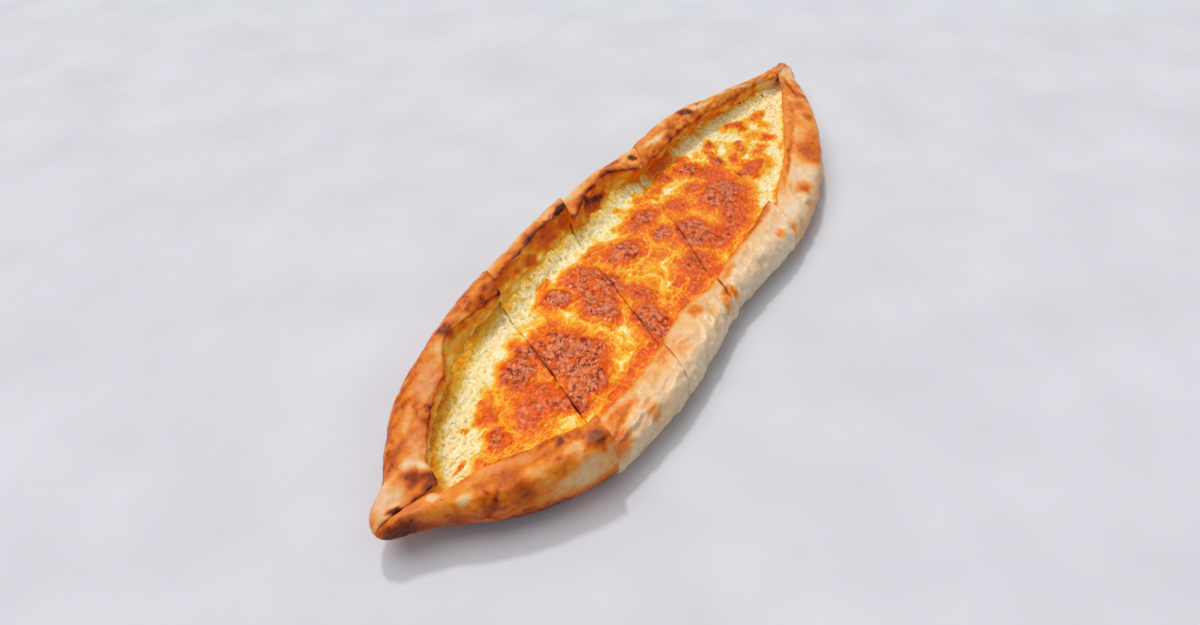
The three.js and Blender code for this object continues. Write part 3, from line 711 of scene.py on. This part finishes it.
def cheese_relief(x, y, pale, browned):
    """The bumps of the cheese in millimetres, how much painted shade darkens a place in a crevice or dip, how
    much it lies on a string and how much painted sheen lightens the top of a bump"""
    flat = on_plane(x, y)
    warped = shifted(flat, (0.8, 3, 21, 22))
    lumps = np.abs(noise(warped, LUMP, 23))
    crumbs = np.abs(noise(warped, CRUMB, 24))
    skin = LUMP_HEIGHT * lumps**0.8 + CRUMB_HEIGHT * crumbs**0.8 + SWELL_HEIGHT * noise(flat, 9, 25) - 0.2
    swirl = shifted(flat, (4, 14, 26, 27))
    thick = 1 - np.abs(noise(swirl, (6.5, 4.2, 1), 28))
    thin = 1 - np.abs(noise(swirl + 9, (3.6, 2.6, 1), 34))
    strings = np.maximum(smooth(thick, 0.86, 0.98), 0.4 * smooth(thin, 0.88, 0.98))
    wrinkles = np.abs(noise(swirl, (3.4, 2.4, 1), 29))
    melt = STRING_HEIGHT * strings + WRINKLE_HEIGHT * wrinkles + SWELL_HEIGHT * noise(flat, 8, 30)
    grain = 0.8 * noise(swirl, (1.7, 2.8, 1), 31) + 0.8 * noise(swirl, (2.6, 1.6, 1), 32)
    grain = grain + noise(flat, 1.5, 35)
    shreds = SHRED_HEIGHT * grain + SWELL_HEIGHT * noise(flat, 7, 33)
    melting = np.clip(1 - pale - browned, 0, 1)
    relief = browned * skin + melting * melt + pale * shreds
    # Painted shade in the crevices between the browned lumps and in the dips between the pale shreds
    crease_shade = np.maximum(smooth(lumps, 0.22, 0.04), 0.7 * smooth(crumbs, 0.2, 0.03))
    crease_shade = crease_shade * smooth(noise(flat, 3.6, 37), -0.2, 0.3) * smooth(browned, 0.35, 0.8)
    crevice_shade = crease_shade + 0.7 * pale * smooth(grain, 0.2, -1.3)
    top_sheen = browned * (smooth(lumps + 0.6 * crumbs, 0.15, 0.6) - 0.35) - 0.35 * pale * grain
    return relief, np.clip(crevice_shade, 0, 1), melting * (strings - 0.5 * smooth(wrinkles, 0.15, 0)), top_sheen


def cheese_section(rims, skin, v):
    """The top or underside of a slice's cheese, from v = 0 at its left end to 1 at its right one"""

    def section(x):
        left = side_measures(rims, "left", x)
        right = side_measures(rims, "right", x)
        inset = -CHEESE_OVERLAP if skin == "top" else JOINT_GAP + UNDERCUT
        left_y = left.edge_y - left.foot - inset
        right_y = right.edge_y + right.foot + inset
        y = mix(left_y, right_y, v)

        def ceiling(side):
            inside = np.maximum(0, np.abs(y - side.edge_y) - side.fold)
            return side.lip - LIP - 2 * JOINT_GAP + inside

        top = np.minimum(cheese_height(x, y), np.minimum(ceiling(left), ceiling(right)))
        if skin == "top":
            return y, top
        from_side = np.minimum(left_y - y, y - right_y)
        floor = np.maximum(left.floor, right.floor) + JOINT_GAP
        bend = np.clip(1 - from_side / CHEESE_BEND, 0, 1)
        return y, np.minimum(mix(floor, top - CHEESE_EDGE, bend), top - CHEESE_LEAST)

    return section


def ring_faces(rows, size, offset=0):
    """Quads of a tube of rows rings of size points"""
    row, place = np.meshgrid(np.arange(rows - 1), np.arange(size), indexing="ij")
    here = row * size + place
    beside = row * size + (place + 1) % size
    return np.stack([here, here + size, beside + size, beside], axis=-1).reshape(-1, 4) + offset


def build_mesh(name, points, faces, attributes):
    """A mesh from points in millimetres, faces that may have doubled corners, and named values per point"""
    kept = []
    for face in faces.tolist():
        corners = [corner for i, corner in enumerate(face) if corner != face[i - 1]]
        if len(set(corners)) > 2:
            kept.append(corners)
    mesh = bpy.data.meshes.new(name)
    mesh.from_pydata((points * MM).tolist(), [], kept)
    for key, values in attributes.items():
        mesh.attributes.new(key, "FLOAT", "POINT").data.foreach_set("value", values.astype(np.float32))
    mesh.shade_smooth()
    mesh.update()
    return mesh


def two_skins(name, outer, inner, attributes):
    """A closed body between two facing grids, which meet at their first and last columns where these fall
    together. attributes holds a pair of grids for each name."""
    rows, columns = outer.shape[:2]
    shut = np.allclose(outer[:, 0], inner[:, 0]) and np.allclose(outer[:, -1], inner[:, -1])
    trim = slice(1, -1) if shut else slice(None)
    inner_back = inner[:, ::-1][:, trim]
    ring = np.concatenate([outer, inner_back], axis=1)
    size = ring.shape[1]
    points = ring.reshape(-1, 3)
    values = {
        key: np.concatenate([facing_out, facing_in[:, ::-1][:, trim]], axis=1).ravel()
        for key, (facing_out, facing_in) in attributes.items()
    }
    faces = [ring_faces(rows, size)]
    across = np.arange(columns)
    facing = np.where(across == 0, 0, size - across) if shut else size - 1 - across
    facing[-1] = columns - 1 if shut else facing[-1]
    for row, flip in ((0, False), (rows - 1, True)):
        start = row * size
        cap = np.zeros((CAP_ROWS + 1, columns), int)
        cap[0] = start + across
        cap[-1] = start + facing
        first = len(points)
        extra = []
        for k in range(1, CAP_ROWS):
            extra.append(mix(outer[row], inner[row], k / CAP_ROWS))
            cap[k] = first + (k - 1) * columns + across
            if shut:
                cap[k][[0, -1]] = cap[0][[0, -1]]
        points = np.concatenate([points, *extra])
        for key, pair in attributes.items():
            between = [mix(pair[0][row], pair[1][row], k / CAP_ROWS) for k in range(1, CAP_ROWS)]
            values[key] = np.concatenate([values[key], *between])
        quads = np.stack([cap[:-1, :-1], cap[:-1, 1:], cap[1:, 1:], cap[1:, :-1]], axis=-1).reshape(-1, 4)
        faces.append(quads[:, ::-1] if flip else quads)
    return build_mesh(name, points, np.concatenate(faces), values)


def from_cuts(distance, index):
    """How far the stations of a slice are from its nearest cut, as a column"""
    from_near = distance if index > 0 else np.inf
    from_far = distance[-1] - distance if index < len(CUTS) else np.inf
    return np.minimum(from_near, from_far)[:, None]


def end_rounding(distance, index, size):
    """How far the surface draws in near a cut, so that its edge is round"""
    near = np.clip(from_cuts(distance, index) / size, 0, 1)
    return size * (1 - np.sqrt(1 - (1 - near) ** 2))


def pillow(points, w):
    """The outer skin evened out across the rims, from beside the lip to the heel"""
    weight = 0.5 * smooth(w, *PILLOW_STARTS) * smooth(w, *PILLOW_ENDS)
    share = np.concatenate([weight, weight[::-1][1:]])[None, 1:-1, None]
    points = points.copy()
    for _ in range(PILLOW_PASSES):
        points[:, 1:-1] += share * ((points[:, :-2] + points[:, 2:]) / 2 - points[:, 1:-1])
    return points


def tone_at(w, tones, skin):
    """The brownness of the bare crust from the lip (w = 0) to the middle of the underside (w = 8)"""
    lip, flap, wall, inner = tones
    if skin == "inner":
        knots = [[0, lip], [0.2, mix(lip, inner, 0.8)], [0.9, inner], [1.9, 0.6 * inner], [2.7, 0.2 * inner],
                 [8, inner]]
        return curve(knots)(w)
    torn = lip > TORN
    band = BROWN_BANDS["dark" if flap > DARK_FLAP else "torn" if torn else "plain"]
    # Past w = 4.4 the outer wall turns darker towards the floor (wall + 0.12 at w = 5.6), as painted shade.
    knots = [[0, lip], [0.12, lip], [0.5 * band, mix(lip, flap, 0.35 if torn else 0.5)],
             [band, mix(lip, flap, 0.75)], [2.2, flap], [3.5, wall], [4.4, wall], [5.6, wall + 0.12],
             [8, 0.5]]
    return curve(knots)(w)


def bare_tone(side, skin, points, w, looks, seed):
    """How brown the crust is without its marks"""
    x = points[..., 0]
    spread = LIP_SPREAD[side] * smooth(w, LIP_BAND[side], 0)
    tone = tone_at(w, looks.tones, skin) + spread * rough(points * (1, 0, 0), 9, seed + 20)
    tone = tone + looks.streaked * noise(points, (22, 2.6, 3), seed + 24)
    mottles = 0.12 * rough(points, (14, 8, 8), seed) + 0.09 * noise(points, (5, 3, 3), seed + 1)
    tone = tone + looks.mottled * mottles
    near_pinch = (1 - HOLLOW(x)) * (x < 0)
    tone = mix(tone, NEAR_PINCH_TONE, near_pinch * smooth(w, 0.16, 0.02))
    if skin == "inner":
        tone = tone + 0.22 * rough(points, (10, 9, 6), seed + 26) * smooth(w, 3.2, 1.6)
        for start, end, shade in FAR_INNER_WALL:
            tone = mix(tone, shade, smooth(x, start, end))
    return tone


def crust_relief(index, skin, points, warped, w, looks, seed):
    """The bumps and wrinkles of the crust in millimetres, and how much painted shade darkens the valleys of
    its folds
    """
    relief = SWELLS * noise(points, (13, 9, 9), seed + 6) + DENTS * noise(points, (5, 4, 4), seed + 7)
    if not looks.folds:
        return relief + PORES[skin] * rough(points, (4, 2.6, 2.6), seed + 11, 2), 0
    strength = 0.5 + 0.5 * smooth(noise(points, 20, seed + 8), -0.3, 0.4)
    if index == len(CUTS):
        strength = strength * mix(FAR_FOLDS, 1, smooth(points[..., 0], *FAR_FOLDS_FADE))
    folds, fine = (
        np.sqrt(noise(warped, size, seed + 9 + k) ** 2 + FOLD_SOFTNESS) for k, size in enumerate(looks.folds)
    )
    relief = relief + strength * smooth(w, 0.1, 1.6) * (FOLD_LIFT - FOLD_DEPTH * folds - FINE_DEPTH * fine)
    # Painted shade: the valleys of the folds on the outer skin are browner
    return relief, 0.05 * strength * smooth(folds, 0.15, 0.5) * (skin == "outer")


def crust_fields(index, side, skin, points, w, looks):
    """How brown, how oiled, how pinkish and how glossy the crust is, and its relief in millimetres"""
    seed = SIDE_SEED[side]
    tone = bare_tone(side, skin, points, w, looks, seed)
    rosy = looks.rosy + 0.35 * rough(points, (13, 7, 7), seed + 21, 2)
    gloss = looks.gloss + 0.25 * noise(points, 8, seed + 22)
    coarse, fine = (1.2, 6, seed + 2, seed + 3, seed + 4), (0.5, 2.2, seed + 12, seed + 13, seed + 14)
    warped = shifted(points, coarse, fine)
    groove = 0 * tone
    for x, y, z, half_long, half_wide, turn, depth, crisp, pink in CRUST_MARKS:
        dx, dy, dz = np.moveaxis(warped - (x, y, z), -1, 0)
        along, across = along_and_across(dx, dy, half_long, half_wide, turn)
        upward = dz / (1.6 * max(half_wide, 3))
        far = np.sqrt(along**2 + across**2 + upward**2)
        inside = smooth(far, 1.4 - 0.2 * crisp, 0.3 + 0.5 * crisp)
        tone = mix(tone, depth + 0.35 * (tone - looks.tones[1]) * (1 - crisp), inside)
        rosy = mix(rosy, pink, inside)
        if half_wide < GROOVE_WIDTH:
            groove = np.maximum(groove, inside)
    dots = smooth(noise(points, 2.4, seed + 30), 0.42, 0.7) * smooth(tone, 0.3, 0.5) * smooth(w, 5, 3)
    tone = tone + DOTS * dots * (skin == "outer")
    for x, y, z, half_wide in SPECKS:
        far = np.linalg.norm(points - (x, y, z), axis=-1) / half_wide
        tone = mix(tone, 1.0, smooth(far, *SPECK_EDGE))
    oiled = 0 * tone
    if skin == "inner":
        pinched = 1 - HOLLOW(points[..., 0])
        oiled = smooth(w, 0.1, 0.8) * smooth(pinched, 0.7, 0.1) * smooth(tone, 0.85, 0.7)
    relief, fold_valley_shade = crust_relief(index, skin, points, warped, w, looks, seed)
    fields = (np.clip(value, 0, 1) for value in (tone + fold_valley_shade, oiled, rosy, gloss))
    low = smooth(w, 6.2, 5) if skin == "outer" else smooth(w, 3.5, 2)
    return (*fields, (relief - groove) * low)


def joined(left, right):
    """Both halves of a section, which share their middle column"""
    return np.concatenate([left, right[:, 1:]], axis=1)


def make_crust(rims, index):
    half = np.concatenate([k + np.arange(n) / n for k, n in enumerate(HALF_FACES)] + [[len(HALF_FACES)]])
    columns = len(half)
    skins = {}
    for skin in ("outer", "inner"):

        def section(x):
            wide = np.broadcast_to(x, (x.shape[0], 2 * columns - 1))
            left = half_section(rims, "left", skin, wide[:, :columns], half)
            right = half_section(rims, "right", skin, wide[:, columns - 1:], half[::-1])
            return [joined(*halves) for halves in zip(left, right)]

        points, distance = sweep(index, NEAR_TIP_X, FAR_TIP_X, section)
        if skin == "outer":
            points = pillow(points, half)
        normals = grid_normals(points)
        if skin == "inner":
            normals = -normals
        left = crust_fields(index, "left", skin, points[:, :columns], half, rims["left"])
        right = crust_fields(index, "right", skin, points[:, columns - 1:], half[::-1], rims["right"])
        *fields, relief = (joined(*halves) for halves in zip(left, right))
        inside = end_rounding(distance, index, CRUST_ROUND)
        relief[:, 0] = relief[:, -1] = 0
        skins[skin] = (points + normals * (relief - inside)[..., None], *fields)
    for outer, inner in zip(skins["outer"], skins["inner"]):
        for column in (0, -1):
            inner[:, column] = outer[:, column]
    (outer, inner), *pairs = zip(skins["outer"], skins["inner"])
    return two_skins(f"crust_{index + 1}", outer, inner, dict(zip(("tone", "oiled", "rosy", "gloss"), pairs)))


def make_cheese(rims, index):
    v = np.linspace(0, 1, int(CHEESE_WIDEST / CHEESE_STEP))
    top, distance = sweep(index, *CHEESE_ENDS, cheese_section(rims, "top", v))
    bottom, _ = sweep(index, *CHEESE_ENDS, cheese_section(rims, "bottom", v))
    x, y = top[..., 0].copy(), top[..., 1].copy()
    toast, pale, browned = cheese_toast(x, y)
    relief, crevice_shade, strings, top_sheen = cheese_relief(x, y, pale, browned)
    # Painted shade darkens the browned cheese along the cuts
    cut_shade = smooth(from_cuts(distance, index), *CUT_SHADE_EDGE) * smooth(noise(top, 5, 41), -0.5, 0.4)
    crevice_shade = np.maximum(crevice_shade, CUT_SHADE_DEPTH * cut_shade * smooth(browned, 0.1, 0.5))
    from_wall = {"left": np.abs(y - y[:, :1]), "right": np.abs(y - y[:, -1:])}
    nearest = np.minimum(*from_wall.values())
    inside = end_rounding(distance, index, CHEESE_ROUND)
    top[..., 2] += relief * smooth(nearest, 0, RELIEF_FADE) - inside
    later = smooth(x, *GOLDEN_CHANGES)
    golden = mix(*GOLDEN, later) + 0.15 * rough(on_plane(x, y), (7, 5, 1), 38, 2)
    uneven = 1 + CLIMB_SPREAD * rough(on_plane(x, 0 * x), 8, 39, 2)
    for side, away in from_wall.items():
        m = side_measures(rims, side, x)
        room = np.maximum(m.lip - LIP - top[..., 2], 0)
        rising = CHEESE_CLIMB[side] * uneven * smooth(away, CLIMB_WIDTH, 0) ** 1.7
        climb = np.minimum(rising, 0.75 * room) * m.opened
        outward = np.maximum(m.foot - m.fold, 0) / np.maximum(m.lip - m.level, 4)
        top[..., 1] -= m.inward * climb * outward * smooth(away, 4, 0)
        top[..., 2] += climb * (away == nearest)
        # The golden strip by the wall is partly a stain and partly painted shade in the corner between cheese
        # and wall
        beside = pale * smooth(away / mix(*GOLDEN_WIDTH, later), 1, 0.1) * (x < GOLDEN_UNTIL)
        toast = mix(toast, np.maximum(toast, golden), beside)
        pale = pale * (1 - 0.7 * beside)
    # Painted light on the cheese: tops of the browned lumps lean to pinkish mauve as a painted sheen, raised
    # pale shreds are lighter as painted highlights, and the hollows between them are darker as painted shade.
    # The strings are lighter, partly as paler strands and partly as a painted highlight, and the valleys of
    # the melted wrinkles are deeper orange as painted shade.
    toast = np.minimum(toast - 0.20 * strings + 0.14 * top_sheen, DARKEST)
    for speck_x, speck_y, _, half_wide in SPECKS:
        toast = mix(toast, 1.0, smooth(np.hypot(x - speck_x, y - speck_y) / half_wide, *SPECK_EDGE))
    zero = 0 * toast
    return two_skins(f"cheese_{index + 1}", top, bottom, {
        "toast": (np.clip(toast, 0, 1), zero + 0.3),
        "pale": (pale, zero),
        "browned": (browned, zero),
        "crevice_shade": (crevice_shade, zero),
    })


# The crust's shine: what it is on dry crust and what oil changes
DRY_ROUGHNESS = 0.52
OIL_SMOOTHS = 0.38
UNEVEN_ROUGHNESS = 0.14
DRY_GLOSS = 0.04
OIL_GLOSS = 0.56
OILED_SHINE = 0.9  # how oily the inner walls are


def paint(red, green, blue):
    """A screen colour from 0 to 255 as the linear colour that the shaders take"""
    def linear(value):
        share = value / 255
        return share / 12.92 if share <= 0.04045 else ((share + 0.055) / 1.055) ** 2.4

    return (linear(red), linear(green), linear(blue), 1.0)


class Nodes:
    """A material's node tree with short ways to add to it"""

    def __init__(self, name):
        self.material = bpy.data.materials.new(name)
        self.material.use_nodes = True
        self.tree = self.material.node_tree
        self.shader = next(n for n in self.tree.nodes if n.type == "BSDF_PRINCIPLED")

    def feed(self, socket, given):
        """Gives an input a fixed value or the output of another node"""
        if isinstance(given, bpy.types.NodeSocket):
            self.tree.links.new(given, socket)
        else:
            socket.default_value = given

    def add(self, kind, **inputs):
        node = self.tree.nodes.new("ShaderNode" + kind)
        for name, given in inputs.items():
            self.feed(node.inputs[name], given)
        return node

    def value(self, name):
        node = self.add("Attribute")
        node.attribute_name = name
        return node.outputs["Fac"]

    def noise(self, size, detail=3.0, distortion=0.0):
        place = self.add("TexCoord").outputs["Object"]
        node = self.add("TexNoise", Vector=place, Scale=1 / (size * MM), Detail=detail, Distortion=distortion)
        return node.outputs["Fac"]

    def math(self, operation, first, second, clamp=False):
        node = self.add("Math")
        node.operation = operation
        node.use_clamp = clamp
        self.feed(node.inputs[0], first)
        self.feed(node.inputs[1], second)
        return node.outputs[0]

    def plus(self, first, second, clamp=False):
        return self.math("ADD", first, second, clamp)

    def times(self, first, second, clamp=False):
        return self.math("MULTIPLY", first, second, clamp)

    def ramp(self, source, *stops):
        """A colour that follows source. Each stop is its value and a screen colour from 0 to 255."""
        node = self.add("ValToRGB", Fac=source)
        elements = node.color_ramp.elements
        for position, *_ in stops[1:-1]:
            elements.new(position)
        for element, (position, *color) in zip(elements, stops):
            element.position = position
            element.color = paint(*color)
        return node.outputs["Color"]

    def blend(self, share, first, second):
        node = self.add("Mix")
        node.data_type = "RGBA"
        for name, given in (("Factor", share), ("A", first), ("B", second)):
            self.feed(next(s for s in node.inputs if s.name == name and s.enabled), given)
        return next(s for s in node.outputs if s.enabled)

    def bump(self, height, distance):
        return self.add("Bump", Height=height, Distance=distance * MM).outputs["Normal"]

    def shade(self, inputs):
        """The material with its shader's inputs fed by name"""
        for name, given in inputs.items():
            self.feed(self.shader.inputs[name], given)
        return self.material


def crust_material():
    nodes = Nodes("crust")
    flecks = nodes.math("SUBTRACT", nodes.noise(2.4, detail=4.0), 0.5)
    tone = nodes.plus(nodes.value("tone"), nodes.times(flecks, 0.24), clamp=True)
    baked = nodes.ramp(
        tone, (0, 236, 218, 188), (0.12, 232, 204, 162), (0.28, 236, 180, 106), (0.42, 236, 144, 40),
        (0.56, 224, 114, 10), (0.7, 188, 78, 2), (0.84, 128, 40, 2), (1, 48, 16, 8),
    )
    toasted = nodes.ramp(
        tone, (0, 240, 218, 196), (0.15, 234, 194, 156), (0.3, 232, 158, 98), (0.45, 224, 124, 60),
        (0.6, 200, 94, 38), (0.75, 158, 60, 24), (0.88, 104, 32, 14), (1, 48, 16, 10),
    )
    golden = nodes.ramp(
        tone, (0, 252, 226, 150), (0.15, 252, 204, 80), (0.3, 250, 168, 18), (0.5, 242, 122, 0),
        (0.7, 208, 80, 0), (0.88, 124, 34, 0), (1, 48, 16, 8),
    )
    oiled = nodes.value("oiled")
    outside = nodes.blend(nodes.value("rosy"), baked, toasted)
    shine = nodes.math("MAXIMUM", nodes.value("gloss"), nodes.times(oiled, OILED_SHINE))
    dull = nodes.math("SUBTRACT", DRY_ROUGHNESS, nodes.times(shine, OIL_SMOOTHS))
    return nodes.shade({
        "Base Color": nodes.blend(oiled, outside, golden),
        "Roughness": nodes.plus(dull, nodes.times(nodes.noise(2.5), UNEVEN_ROUGHNESS)),
        "Subsurface Weight": 0.08,
        "Subsurface Scale": 2 * MM,
        "Specular IOR Level": nodes.plus(DRY_GLOSS, nodes.times(shine, OIL_GLOSS)),
        "Specular Tint": (1.0, 0.8, 0.52, 1.0),
        "Normal": nodes.bump(nodes.noise(0.9, detail=4.0), 0.3),
    })


def cheese_material():
    nodes = Nodes("cheese")
    browned, pale = nodes.value("browned"), nodes.value("pale")
    grain = nodes.math("SUBTRACT", nodes.noise(2.2, detail=2.2, distortion=1.2), 0.5)
    amount = nodes.plus(0.16, nodes.times(browned, 0.5))
    toast = nodes.plus(nodes.value("toast"), nodes.times(grain, amount), clamp=True)
    # The pinkish mauve at 0.83 and 0.9 is partly the colour of deep browning and partly a painted sheen on
    # the blister tops
    melted = nodes.ramp(
        toast, (0, 255, 246, 206), (0.1, 255, 232, 158), (0.2, 252, 206, 80), (0.3, 253, 182, 24),
        (0.42, 249, 150, 4), (0.52, 244, 116, 0), (0.6, 234, 84, 0), (0.68, 230, 86, 0),
        (0.75, 228, 100, 22), (0.83, 236, 136, 88), (0.9, 216, 110, 76), (1, 60, 18, 10),
    )
    # Painted shade: dark red in the crevices of the browned cheese and olive yellow in the dips between the
    # pale shreds
    shade = nodes.blend(pale, paint(136, 22, 0), paint(224, 186, 88))
    grainy = nodes.plus(nodes.times(browned, 0.9), nodes.times(pale, 0.8))
    dip_shade = nodes.times(nodes.math("SUBTRACT", -0.06, grain), 9.0, clamp=True)
    share = nodes.plus(nodes.value("crevice_shade"), nodes.times(dip_shade, grainy), clamp=True)
    return nodes.shade({
        "Base Color": nodes.blend(share, melted, shade),
        "Roughness": nodes.plus(0.15, nodes.times(pale, 0.2)),
        "Subsurface Weight": 0.1,
        "Subsurface Scale": 1.5 * MM,
        "Specular IOR Level": 0.5,
        "Specular Tint": (1.0, 0.72, 0.44, 1.0),
        "Normal": nodes.bump(grain, 0.9),
    })


def place_piece(mesh, material, node):
    mesh.materials.append(material)
    piece = put(mesh.name, mesh)
    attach(piece, "root")
    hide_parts(node)


def make_floor():
    nodes = Nodes("floor")
    shade = nodes.ramp(nodes.noise(60, detail=5.0), (0.3, 207, 208, 214), (0.7, 216, 217, 223))
    half = 3.0  # metres
    mesh = bpy.data.meshes.new("floor")
    corners = [(-half, -half, 0), (half, -half, 0), (half, half, 0), (-half, half, 0)]
    mesh.from_pydata(corners, [], [(0, 1, 2, 3)])
    mesh.materials.append(nodes.shade({"Base Color": shade, "Roughness": 0.8}))
    floor = put("floor", mesh)


def make_sun(name, azimuth, elevation, strength, color, softness):
    """A distant light, azimuth degrees round from +X and elevation above the floor, softness degrees wide"""
    data = bpy.data.lights.new(name, "SUN")
    data.energy = strength
    data.color = color
    data.angle = math.radians(softness)
    light = put(name, data)
    turn, rise = math.radians(azimuth), math.radians(elevation)
    back = Vector((math.cos(turn) * math.cos(rise), math.sin(turn) * math.cos(rise), math.sin(rise)))
    light.rotation_mode = "QUATERNION"
    light.rotation_quaternion = (-back).to_track_quat("-Z", "Y")


def make_lights():
    make_sun("key", azimuth=104, elevation=66, strength=1.26, color=(1.0, 0.99, 0.97), softness=42)
    make_sun("back", azimuth=46, elevation=58, strength=1.05, color=(1.0, 0.99, 0.98), softness=6)
    world = bpy.data.worlds.new("studio")
    world.use_nodes = True
    background = next(n for n in world.node_tree.nodes if n.type == "BACKGROUND")
    background.inputs["Color"].default_value = (0.94, 0.96, 1.0, 1.0)
    background.inputs["Strength"].default_value = 0.43
    bpy.context.scene.world = world
    bpy.context.scene.view_settings.view_transform = "Standard"


crust = crust_material()
cheese = cheese_material()
for number, rims in enumerate(SLICES):
    place_piece(make_crust(rims, number), crust, f"slice_{number + 1}_dough")
    place_piece(make_cheese(rims, number), cheese, f"slice_{number + 1}_cheese")
make_floor()
make_lights()
